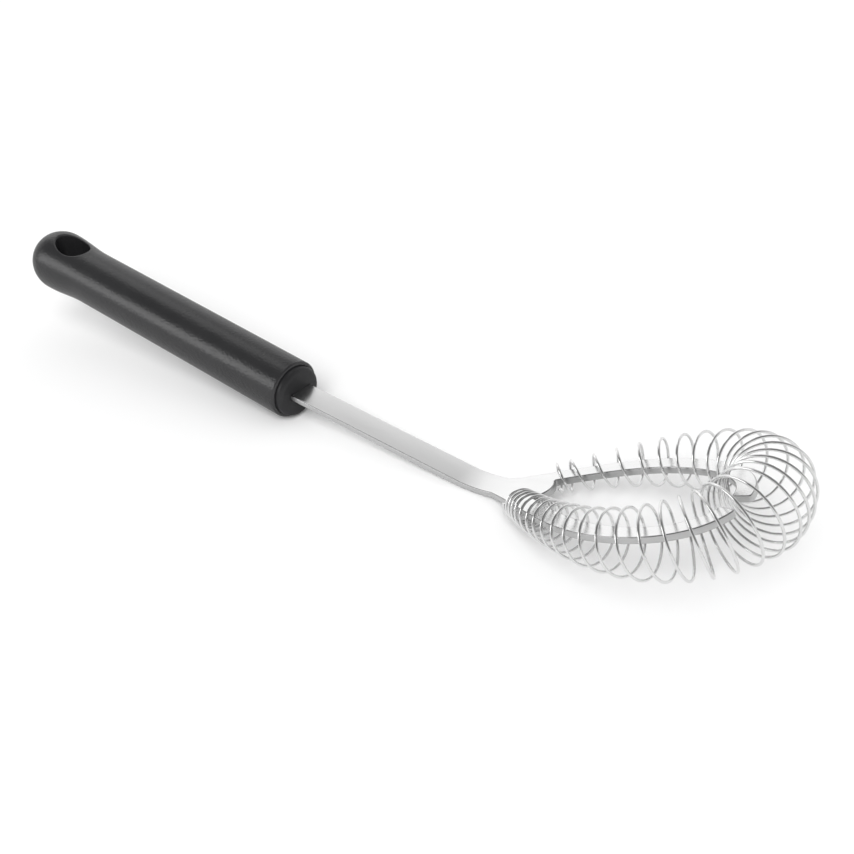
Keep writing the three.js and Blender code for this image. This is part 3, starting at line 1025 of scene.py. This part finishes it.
@dataclass
class SteelFork:
    """Stamped flat strip with tang, shank and fork, in millimetres."""

    path: StripPath
    loop: ForkLoop
    width: float = 8.0
    thickness: float = 2.0
    tang_chamfer: float = 2.0
    barb_height: float = 1.0
    barb_length: float = 5.0
    barb_drop: float = 0.3
    shoulder_at: float = 38.0
    edge_round: float = 0.3
    face_margin: float = 0.12
    skin_margin: float = 0.02
    crown: float = 0.09
    crown_fade: float = 12.0
    crown_lines: int = 10
    prong_corner: float = 0.9
    crotch_corner: float = 0.9
    edge_steps: int = 4
    corner_steps: int = 8
    shank_step: float = 2.0
    prong_steps: int = 150
    crotch_steps: int = 14
    mouth_cuts: int = 6
    head_cuts: int = 24
    corner_clear: float = 0.05
    crown_slack: float = 0.001
    cut_reach: float = 1e-5
    sharp_angle: float = 60.0

    def half_outline(self) -> Points:
        """Far half of the flat outline.

        Returns:
            Points from the tang's end to the middle of the crotch.
        """
        half, fork = self.width / 2, self.path.fork_start
        root, end = self.loop.prong_range()
        tang = [
            (0.0, 0.0),
            (0.0, half - self.tang_chamfer),
            (self.tang_chamfer, half),
            (self.shoulder_at - self.barb_length, half),
            (self.shoulder_at - self.barb_drop, half + self.barb_height),
            (self.shoulder_at, half),
        ]
        shank_start, shank_end = self.shoulder_at + self.shank_step, fork - self.shank_step / 2
        shank_at = np.arange(shank_start, shank_end, self.shank_step)
        shank = np.stack([shank_at, np.full(len(shank_at), half)], -1)
        offset = np.array([fork, 0.0])
        outer = self.loop.outer(np.linspace(0, end, self.prong_steps)) + offset
        inner = self.loop.inset(np.linspace(end, root, self.prong_steps), self.loop.prong_width) + offset
        side = inner[-1, 1] * np.linspace(1, 0, self.crotch_steps)
        crotch = np.stack([self.loop.crotch_edge(side), side], -1)[1:] + offset
        line = np.concatenate([np.array(tang), shank, outer, inner, crotch])
        first_corner = len(tang) + len(shank) + len(outer) - 1
        crotch_corner = first_corner + len(inner)
        for corner, reach in (
            (crotch_corner, self.crotch_corner),
            (first_corner + 1, self.prong_corner),
            (first_corner, self.prong_corner),
        ):
            line = self.rounded(line, corner, reach)
        return line

    def rounded(self, line: Points, corner: int, reach: float) -> Points:
        """A line with one corner rounded.

        Args:
            line: Points of the line.
            corner: Number of the corner's point.
            reach: How far from the corner the rounding starts, along the line.

        Returns:
            The line with the points near the corner replaced by a curve.
        """
        run = np.concatenate([[0], np.cumsum(np.linalg.norm(np.diff(line, axis=0), axis=1))])
        place = run[corner]
        ends = [
            np.array([np.interp(place + way * reach, run, line[:, axis]) for axis in (0, 1)])
            for way in (-1, 1)
        ]
        share = np.linspace(0, 1, self.corner_steps + 1)[:, None]
        first, last = lerp(ends[0], line[corner], share), lerp(line[corner], ends[1], share)
        before = line[run < place - reach - self.corner_clear]
        after = line[run > place + reach + self.corner_clear]
        return np.concatenate([before, lerp(first, last, share), after])

    def outline(self) -> Points:
        """Whole flat outline.

        Returns:
            Points of both halves, anticlockwise.
        """
        half = self.half_outline()
        near = half[1:-1] * np.array([1, -1])
        return np.concatenate([half[::-1], near])

    @staticmethod
    def drawn_in(outline: Points, depth: float) -> Points:
        """An outline drawn in by a depth, with mitred corners.

        Args:
            outline: Points of the outline, anticlockwise.
            depth: How far it is drawn in.

        Returns:
            A point for each point of the outline.
        """
        before = outline - np.roll(outline, 1, axis=0)
        after = np.roll(outline, -1, axis=0) - outline
        normals = []
        for edge in (before, after):
            edge = edge / np.linalg.norm(edge, axis=1, keepdims=True)
            normals.append(np.stack([-edge[:, 1], edge[:, 0]], -1))
        mean = normals[0] + normals[1]
        mean = mean / np.linalg.norm(mean, axis=1, keepdims=True)
        return outline + depth * mean / np.sum(mean * normals[0], axis=1, keepdims=True)

    def flat_skin(self) -> bmesh.types.BMesh:
        """The flat strip with rounded edges, cut across where it bends and along its crown.

        Returns:
            A closed flat skin.
        """
        outline = self.outline()
        half = self.thickness / 2 - self.skin_margin
        turns = np.linspace(0, math.pi / 2, self.edge_steps + 1)
        bend = self.edge_round
        top = [(bend * (1 - math.cos(a)), half - bend * (1 - math.sin(a))) for a in turns]
        top.append((bend + self.face_margin, half))
        levels = [(inset, -height) for inset, height in reversed(top)] + top
        skin = bmesh.new()
        rings = []
        for inset, height in levels:
            points = self.drawn_in(outline, inset)
            rings.append([skin.verts.new((x, y, height)) for x, y in points])
        for low, high in zip(rings, rings[1:]):
            for i in range(len(low)):
                j = (i + 1) % len(low)
                skin.faces.new((low[i], low[j], high[j], high[i]))
        skin.faces.new(rings[-1])
        skin.faces.new(rings[0][::-1])
        path = self.path
        mouth_start = path.stretches[0][0]
        head_start = path.head_bend_end - path.head_bend
        mouth_end = mouth_start + path.mouth_bend
        cuts = list(np.linspace(mouth_start, mouth_end, self.mouth_cuts + 1))
        cuts += list(np.linspace(mouth_end, head_start, self.head_cuts + 1)[1:-1])
        cuts += list(np.linspace(head_start, path.head_bend_end, self.head_cuts + 1))
        crown_end = path.fork_start + self.crown_fade
        cuts += list(np.linspace(path.head_bend_end, crown_end, self.mouth_cuts + 1)[1:])
        for distance in cuts:
            self.cut(skin, list(skin.faces), (distance, 0, 0), (1, 0, 0))
        shank_end = crown_end + self.crown_slack
        for side in np.linspace(-self.width / 2, self.width / 2, self.crown_lines + 1)[1:-1]:
            shank = [face for face in skin.faces if all(vert.co.x < shank_end for vert in face.verts)]
            self.cut(skin, shank, (0, side, 0), (0, 1, 0))
        wide = [face for face in skin.faces if len(face.verts) > 4]
        bmesh.ops.triangulate(skin, faces=wide, ngon_method="BEAUTY")
        return skin

    def cut(self, skin: bmesh.types.BMesh, faces: list, place: Triple, normal: Triple) -> None:
        """Cuts faces of the flat strip along a plane.

        Args:
            skin: Flat strip that is being made.
            faces: Faces to cut.
            place: Point of the plane.
            normal: Direction square to the plane.
        """
        edges = {edge for face in faces for edge in face.edges}
        verts = {vert for face in faces for vert in face.verts}
        bmesh.ops.bisect_plane(
            skin, geom=[*verts, *edges, *faces], dist=self.cut_reach, plane_co=place, plane_no=normal
        )

    def crowned(self, flat: Points) -> Points:
        """Makes both faces of the shank swell a little towards its middle line.

        Args:
            flat: Points of the flat strip.

        Returns:
            The points with their new heights.
        """
        past = (self.path.fork_start + self.crown_fade - flat[:, 0]) / self.crown_fade
        across = np.clip(np.abs(flat[:, 1]) / (self.width / 2), 0, 1)
        thinner = 1 - self.crown / (self.thickness / 2) * np.clip(past, 0, 1) * across**2
        return np.column_stack([flat[:, :2], flat[:, 2] * thinner])

    def build(self, tool: ToolFrame, finish: Material) -> Object:
        """The finished fork in its place, with its flat place kept as an attribute.

        Args:
            tool: Frame that carries the fork to the table.
            finish: Material of the fork.

        Returns:
            The declared fork.
        """
        skin = self.flat_skin()
        mesh = bpy.data.meshes.new("steel_fork")
        skin.to_mesh(mesh)
        skin.free()
        flat = np.array([vertex.co for vertex in mesh.vertices])
        store(mesh, SATIN_STEEL.place, flat)
        bent = tool.place(self.path.bent(self.crowned(flat)))
        mesh.vertices.foreach_set("co", bent.astype(np.float32).ravel())
        return whisk_piece(finished_mesh(mesh, self.sharp_angle), finish, "whisk_frame")


class WindingSketch(NodeSketch):
    """Short hand for geometry nodes that read and keep named attributes."""

    def stored(self, label: str, kind: str) -> NodeSocket:
        """A named attribute of the points."""
        made = self.node("GeometryNodeInputNamedAttribute", {"Name": label}, data_type=kind)
        return made.outputs["Attribute"]

    def kept(self, label: str, kind: str, geometry: NodeSocket, value: NodeSocket) -> NodeSocket:
        """Geometry that keeps a value for each point under a name.

        Args:
            label: Name of the attribute.
            kind: Type of the attribute.
            geometry: Geometry that keeps it.
            value: Value of each point.

        Returns:
            The geometry with its attribute.
        """
        feeds = {"Geometry": geometry, "Name": label, "Value": value}
        made = self.node("GeometryNodeStoreNamedAttribute", feeds, data_type=kind, domain="POINT")
        return made.outputs["Geometry"]


@dataclass
class WireCoil:
    """One steel wire wound over both prongs, small at the roots and large at the tip, in millimetres."""

    path: StripPath
    loop: ForkLoop
    wire_radius: float = 0.38
    guide_wire_radius: float = 0.4
    skin_margin: float = 0.04
    tip_radius: float = 11.45
    near_taper: float = 1.31
    far_taper: float = 1.38
    near_play: float = 1.75
    far_play: float = 1.05
    near_inner_gap: float = 2.7
    far_inner_gap: float = 0.55
    end_gap: float = 0.85
    grip_length: float = 25.0
    near_lean: float = math.radians(25)
    near_lean_length: float = 12.0
    far_lean: float = math.radians(21)
    far_lean_length: float = 65.0
    root_gap: float = 0.3
    start_angle: float = math.radians(22.5)
    turn_spacing: Steps = (
        (0, 1.6), (3, 1.8), (7, 4.4), (10, 5.6), (13, 5.1), (16, 3.4), (18.5, 2.7), (22, 2.3),
        (25.5, 3.9), (28, 5.6), (31, 6), (33, 6.4), (34.7, 6.7), (35.7, 2.7), (36.5, 1.6),
    )
    steps_per_turn: int = 48
    wire_sides: int = 14
    root_parts: int = 1000
    sharp_angle: float = 60.0

    def guide(self) -> dict[str, Points]:
        """The line that the wire is wound on.

        Returns:
            For each step of the winding: its turn, the inner guide point and outward direction on the
            flat fork, and the radius of the turn there.
        """
        loop = self.loop
        t = np.linspace(0, 1, loop.samples)
        middle, normal = loop.inset(t, loop.prong_width / 2), loop.outward(t)
        run = np.concatenate([[0], np.cumsum(np.linalg.norm(np.diff(middle, axis=0), axis=1))])
        half_run, share = run[-1], run / run[-1]
        end_reach = loop.prong_width / 2 + self.end_gap + self.guide_wire_radius
        inner = middle - end_reach * normal
        clear = inner[:, 0] > loop.crotch_edge(inner[:, 1]) + self.guide_wire_radius + self.root_gap
        root = math.ceil(share[np.argmax(clear)] * self.root_parts) / self.root_parts
        whole = 2 * (1 - root) * half_run
        turns, pitches = zip(*self.turn_spacing)
        steps = round(turns[-1] * self.steps_per_turn)
        turn = np.arange(steps + 1) / self.steps_per_turn
        pitch = np.interp((np.arange(steps) + 0.5) / self.steps_per_turn, turns, pitches)
        along = np.concatenate([[0], np.cumsum(pitch)])
        along = along * whole / along[-1]
        near = along < whole / 2
        from_end = np.where(near, along, np.maximum(whole - along, 0))
        half_share = from_end / (whole / 2)
        play = np.where(near, self.near_play, self.far_play)
        end_radius = loop.prong_width / 2 + self.guide_wire_radius + play
        taper = half_share ** np.where(near, self.near_taper, self.far_taper)
        radius = lerp(end_radius, self.tip_radius, taper) - self.skin_margin
        inner_gap = lerp(self.near_inner_gap, self.far_inner_gap, along / whole)
        gap = lerp(self.end_gap, inner_gap, np.minimum(from_end / self.grip_length, 1))
        spot = lerp(root, 1, half_share)
        outward = np.stack([np.interp(spot, share, normal[:, axis]) for axis in (0, 1)], -1)
        outward = outward / np.linalg.norm(outward, axis=1, keepdims=True)
        start = np.stack([np.interp(spot, share, middle[:, axis]) for axis in (0, 1)], -1)
        start = start - (loop.prong_width / 2 + gap + self.guide_wire_radius)[:, None] * outward
        lean_length = np.where(near, self.near_lean_length, self.far_lean_length)
        end_lean = np.where(near, self.near_lean, self.far_lean)
        lean = end_lean * (1 - np.minimum(from_end / lean_length, 1))
        leaned = np.stack(
            [
                outward[:, 0] * np.cos(lean) - outward[:, 1] * np.sin(lean),
                outward[:, 0] * np.sin(lean) + outward[:, 1] * np.cos(lean),
            ],
            -1,
        )
        side = np.stack([np.ones(len(near)), np.where(near, -1, 1)], -1)
        return {"turn": turn, "inner": start * side, "outward": leaned * side, "radius": radius}

    def guide_mesh(self, tool: ToolFrame) -> Mesh:
        """The guide as a line of edges in its place, with what each step needs as attributes.

        Args:
            tool: Frame that carries the guide to the table.

        Returns:
            A mesh of edges.
        """
        guide = self.guide()
        count = len(guide["turn"])
        flat = np.column_stack([guide["inner"], np.zeros(count)])
        flat[:, 0] += self.path.fork_start
        fork_at = self.path.head_bend_end
        first, second = self.path.bent(np.array([[fork_at, 0, 0], [fork_at + 1, 0, 0]]))
        ahead = second - first
        outward = guide["outward"][:, :1] * ahead + guide["outward"][:, 1:] * np.array([0, 1, 0])
        mesh = bpy.data.meshes.new("coil_guide")
        places = [tuple(p) for p in tool.place(self.path.bent(flat))]
        mesh.from_pydata(places, [(i, i + 1) for i in range(count - 1)], [])
        store(mesh, "turn", guide["turn"])
        store(mesh, "turn_radius", guide["radius"] * MM)
        store(mesh, "outward", tool.direction(outward))
        return mesh

    def fork_up(self, tool: ToolFrame) -> Triple:
        """Direction square to the fork's plane."""
        heading = self.path.mouth_bend_angle + self.path.head_bend_angle
        return tuple(tool.direction(np.array([-math.sin(heading), 0, math.cos(heading)])))

    @staticmethod
    def winding_tree() -> NodeTree:
        """Geometry nodes that wind the guide into a coil and give the wire its round section.

        Returns:
            A tree with the inputs Fork Up, Start Angle, Wire Radius, Wire Sides and Finish.
        """
        tree = bpy.data.node_groups.new("wound_wire", "GeometryNodeTree")
        sockets = {
            "Guide": "NodeSocketGeometry",
            "Fork Up": "NodeSocketVector",
            "Start Angle": "NodeSocketFloat",
            "Wire Radius": "NodeSocketFloat",
            "Wire Sides": "NodeSocketInt",
            "Finish": "NodeSocketMaterial",
        }
        for label, kind in sockets.items():
            tree.interface.new_socket(label, in_out="INPUT", socket_type=kind)
        tree.interface.new_socket("Wire", in_out="OUTPUT", socket_type="NodeSocketGeometry")
        sketch = WindingSketch(tree)
        source = sketch.node("NodeGroupInput").outputs
        target = sketch.node("NodeGroupOutput").inputs
        radius = sketch.stored("turn_radius", "FLOAT")
        angle = sketch.math("MULTIPLY", sketch.stored("turn", "FLOAT"), -2 * math.pi)
        angle = sketch.math("ADD", angle, source["Start Angle"])
        out = sketch.math("MULTIPLY", radius, sketch.math("ADD", sketch.math("COSINE", angle), 1.0))
        up = sketch.math("MULTIPLY", radius, sketch.math("SINE", angle))
        sideways = sketch.vector("SCALE", sketch.stored("outward", "FLOAT_VECTOR"), out)
        offset = sketch.vector("ADD", sideways, sketch.vector("SCALE", source["Fork Up"], up))
        wound = sketch.node("GeometryNodeSetPosition", {"Geometry": source["Guide"], "Offset": offset})
        line = sketch.node("GeometryNodeMeshToCurve", {"Mesh": wound.outputs["Geometry"]})
        length = sketch.node("GeometryNodeSplineParameter").outputs["Length"]
        wire = sketch.kept("along", "FLOAT", line.outputs["Curve"], length)
        feeds = {"Resolution": source["Wire Sides"], "Radius": source["Wire Radius"]}
        circle = sketch.node("GeometryNodeCurvePrimitiveCircle", feeds, mode="RADIUS")
        spot = sketch.node("GeometryNodeInputPosition").outputs["Position"]
        section = sketch.kept("section", "FLOAT_VECTOR", circle.outputs["Curve"], spot)
        feeds = {"Curve": wire, "Profile Curve": section, "Fill Caps": True}
        swept = sketch.node("GeometryNodeCurveToMesh", feeds)
        feeds = {"Vector": sketch.stored("section", "FLOAT_VECTOR")}
        flat = sketch.node("ShaderNodeSeparateXYZ", feeds).outputs
        feeds = {"X": sketch.stored("along", "FLOAT"), "Y": flat["X"], "Z": flat["Y"]}
        joined = sketch.node("ShaderNodeCombineXYZ", feeds).outputs["Vector"]
        place = sketch.vector("SCALE", joined, 1 / MM)
        placed = sketch.kept(BRIGHT_WIRE.place, "FLOAT_VECTOR", swept.outputs["Mesh"], place)
        real = sketch.node("GeometryNodeRealizeInstances", {"Geometry": placed})
        feeds = {"Geometry": real.outputs["Geometry"], "Material": source["Finish"]}
        dressed = sketch.node("GeometryNodeSetMaterial", feeds)
        sketch.feed(target["Wire"], dressed.outputs["Geometry"])
        return tree

    def build(self, tool: ToolFrame, finish: Material) -> Object:
        """The finished coil in its place.

        Args:
            tool: Frame that carries the coil to the table.
            finish: Material of the wire.

        Returns:
            The declared coil.
        """
        piece = scene_object("wire_coil", self.guide_mesh(tool))
        winding = piece.modifiers.new("winding", "NODES")
        winding.node_group = self.winding_tree()
        values = {
            "Fork Up": self.fork_up(tool),
            "Start Angle": self.start_angle,
            "Wire Radius": self.wire_radius * MM,
            "Wire Sides": self.wire_sides,
            "Finish": finish,
        }
        for item in winding.node_group.interface.items_tree:
            if item.name in values:
                winding[item.identifier] = values[item.name]
        graph = bpy.context.evaluated_depsgraph_get()
        mesh = bpy.data.meshes.new_from_object(
            piece.evaluated_get(graph), preserve_all_data_layers=True, depsgraph=graph
        )
        piece.modifiers.remove(winding)
        piece.data = finished_mesh(mesh, self.sharp_angle)
        mesh.name = "wire_coil"
        declare(piece, Body.COIL, "coil_spring")
        return piece


@dataclass(frozen=True)
class LightCard:
    """One soft card of light, which shows in gloss and casts no shadow.

    Attributes:
        name: Name of the card.
        place: Where it hangs, in metres.
        aim: Point that it faces, in metres.
        size: Width and height of its face, in metres.
        radiance: Brightness of its face, where one is white.
    """

    name: str
    place: Triple
    aim: Triple
    size: Pair
    radiance: float

    def hang(self) -> None:
        """Hangs the card in its place."""
        lamp = bpy.data.lights.new(self.name, "AREA")
        lamp.shape = "RECTANGLE"
        lamp.size, lamp.size_y = self.size
        lamp.energy = self.radiance * math.pi * self.size[0] * self.size[1]
        card = scene_object(self.name, lamp)
        towards = Vector(self.aim) - Vector(self.place)
        turn = towards.to_track_quat("-Z", "Y").to_matrix().to_4x4()
        card.matrix_world = Matrix.Translation(self.place) @ turn
        card.visible_camera = card.visible_diffuse = False


@dataclass
class Studio:
    """White table, soft light and the photograph's camera, in metres."""

    eye: Triple = (0.29305, -0.24267, 0.22829)
    right: Triple = (0.72873, 0.67176, -0.13294)
    up: Triple = (-0.26879, 0.45916, 0.84671)
    focal_pixels: float = 1500.0
    nearest: float = 0.01
    floor_half: float = 4.0
    floor_drop: float = 0.00005
    floor_colour: Triple = (0.86, 0.86, 0.86)
    floor_lift: float = 0.08
    dome_level: float = 0.68
    dim_side: Triple = (0.25, -0.55, 0.80)
    dim_stops: Steps = ((0.0, 1.0), (0.04, 0.93), (0.14, 0.68), (0.215, 0.65), (0.5, 0.26), (0.8, 0.2))
    horizon: Pair = (0.2, 0.4)
    fill_from: Triple = (0.5, -0.62, 0.785)
    fill_angle: float = math.radians(36)
    fill_strength: float = 2.05
    cards: tuple[LightCard, ...] = (
        LightCard("left_front", (-0.65, -0.60, 0.37), (-0.65, 0.0, 0.37), (0.80, 0.38), 3.0),
        LightCard("left_back", (-0.694, 0.253, 0.946), (0.0, 0.0, 0.0), (0.42, 1.4), 0.85),
        LightCard("back_card", (-0.90, 0.65, 0.28), (0.05, 0.0, 0.03), (1.40, 0.75), 0.25),
    )

    def hang_camera(self) -> None:
        """Puts the camera where the photograph was taken from."""
        camera = bpy.data.cameras.new("photo_camera")
        camera.sensor_width = SENSOR_MM
        camera.lens = self.focal_pixels / IMAGE_PIXELS * SENSOR_MM
        camera.clip_start = self.nearest
        eye = scene_object("photo_camera", camera)
        right, up = Vector(self.right).normalized(), Vector(self.up)
        back = right.cross(up).normalized()
        turn = Matrix((right, back.cross(right), back)).transposed().to_4x4()
        eye.matrix_world = Matrix.Translation(self.eye) @ turn
        bpy.context.scene.camera = eye

    @staticmethod
    def shown_rays(sketch: NodeSketch) -> NodeSocket:
        """Tells rays that show the background, in the picture or in a gloss, from those that light.

        Args:
            sketch: Sketch of the tree that asks.

        Returns:
            One for rays that show it, and nought for light.
        """
        rays = sketch.node("ShaderNodeLightPath").outputs
        gloss = sketch.math("MAXIMUM", rays["Is Glossy Ray"], rays["Is Transmission Ray"])
        return sketch.math("MAXIMUM", rays["Is Camera Ray"], gloss)

    def floor_finish(self) -> Material:
        """White table that keeps the shadow and shows as white.

        Returns:
            The material.
        """
        material, sketch = new_material("white_table")
        paint = sketch.node("ShaderNodeBsdfDiffuse", {"Color": (*self.floor_colour, 1.0)})
        lift = sketch.math("MULTIPLY", self.shown_rays(sketch), self.floor_lift)
        shown = sketch.node("ShaderNodeBsdfDiffuse", {"Color": lift})
        both = sketch.node("ShaderNodeAddShader", {0: paint.outputs["BSDF"], 1: shown.outputs["BSDF"]})
        sketch.node("ShaderNodeOutputMaterial", {"Surface": both.outputs["Shader"]})
        return material

    def lay_floor(self) -> None:
        """Lays the table under the whisk."""
        half, level = self.floor_half, -self.floor_drop
        mesh = bpy.data.meshes.new("white_table")
        corners = [(x * half, y * half, level) for x, y in ((-1, -1), (1, -1), (1, 1), (-1, 1))]
        mesh.from_pydata(corners, [], [(0, 1, 2, 3)])
        mesh.materials.append(self.floor_finish())
        scene_object("white_table", mesh)

    def wrap_world(self) -> None:
        """Soft dome of light, and a backdrop that is white at the horizon and dim overhead and in front."""
        world = bpy.data.worlds.new("studio")
        world.use_nodes = True
        bpy.context.scene.world = world
        sketch = NodeSketch(world.node_tree)
        direction = sketch.node("ShaderNodeTexCoord").outputs["Generated"]
        facing = sketch.vector("DOT_PRODUCT", direction, tuple(Vector(self.dim_side).normalized()))
        ramp = sketch.node("ShaderNodeValToRGB", {"Fac": facing})
        stops = ramp.color_ramp.elements
        while len(stops) < len(self.dim_stops):
            stops.new(0.5)
        for stop, (place, level) in zip(stops, self.dim_stops):
            stop.position = place
            stop.color = (level, level, level, 1.0)
        low = sketch.spread(sketch.height(direction), 1.0, 0.0, *self.horizon)
        level = sketch.math("MAXIMUM", low, ramp.outputs["Color"])
        backdrop = sketch.node("ShaderNodeBackground", {"Color": level})
        feeds = {"Color": (1.0, 1.0, 1.0, 1.0), "Strength": self.dome_level}
        dome = sketch.node("ShaderNodeBackground", feeds)
        feeds = {
            "Fac": self.shown_rays(sketch),
            1: dome.outputs["Background"],
            2: backdrop.outputs["Background"],
        }
        chosen = sketch.node("ShaderNodeMixShader", feeds)
        sketch.node("ShaderNodeOutputWorld", {"Surface": chosen.outputs["Shader"]})

    def hang_fill(self) -> None:
        """Hangs a broad even light in front, that lights the table and doesn't show in gloss."""
        lamp = bpy.data.lights.new("front_fill", "SUN")
        lamp.energy = self.fill_strength
        lamp.angle = self.fill_angle
        fill = scene_object("front_fill", lamp)
        fill.matrix_world = Vector(self.fill_from).to_track_quat("Z", "Y").to_matrix().to_4x4()
        fill.visible_glossy = False

    def build(self) -> None:
        """Sets up the whole studio."""
        bpy.context.scene.view_settings.view_transform = "Standard"
        self.hang_camera()
        self.lay_floor()
        self.wrap_world()
        self.hang_fill()
        for card in self.cards:
            card.hang()


@dataclass
class Whisk:
    """The whole whisk, built on one tool frame."""

    rock_axis_along: float = 17.25
    handle: Handle = field(default_factory=Handle)
    plug: MouthPlug = field(default_factory=MouthPlug)
    path: StripPath = field(default_factory=StripPath)
    loop: ForkLoop = field(default_factory=ForkLoop)

    def tool_frame(self, fork: SteelFork) -> ToolFrame:
        """The tool's frame, found from the joint at the prong roots.

        Args:
            fork: Strip that lies on the table.

        Returns:
            The frame.
        """
        tilt = self.path.rest_tilt(fork.thickness, self.handle)
        axis = self.path.bent(np.array([self.path.fork_start + self.rock_axis_along, 0, 0]))
        joint = np.array(frame["joints"][0]["pos_m"])
        return ToolFrame(tilt, tuple(joint - ToolFrame.turned(axis, tilt) * MM))

    def build(self) -> list[Object]:
        """All pieces, dressed and riding on their bodies.

        Returns:
            The handle, the plug, the fork and the coil.
        """
        fork = SteelFork(self.path, self.loop)
        coil = WireCoil(self.path, self.loop)
        tool = self.tool_frame(fork)
        LOG.info("tool frame: tilt %.3f degrees, origin %s", math.degrees(tool.tilt), tool.origin)
        grain = noise_group("moulded_grain", GRAIN_LAYERS)
        streaks = noise_group("steel_streaks", STREAK_LAYERS)
        return [
            self.handle.build(tool, MATTE_BLACK.material(grain)),
            self.plug.build(tool, SATIN_BLACK.material(grain)),
            fork.build(tool, SATIN_STEEL.material(streaks)),
            coil.build(tool, BRIGHT_WIRE.material(streaks)),
        ]


def main() -> None:
    """Builds the studio and the whisk."""
    logging.basicConfig(level=logging.INFO, format="%(name)s: %(message)s")
    Studio().build()
    pieces = Whisk().build()
    LOG.info("%d pieces", len(pieces))


if __name__ == "__main__":
    main()
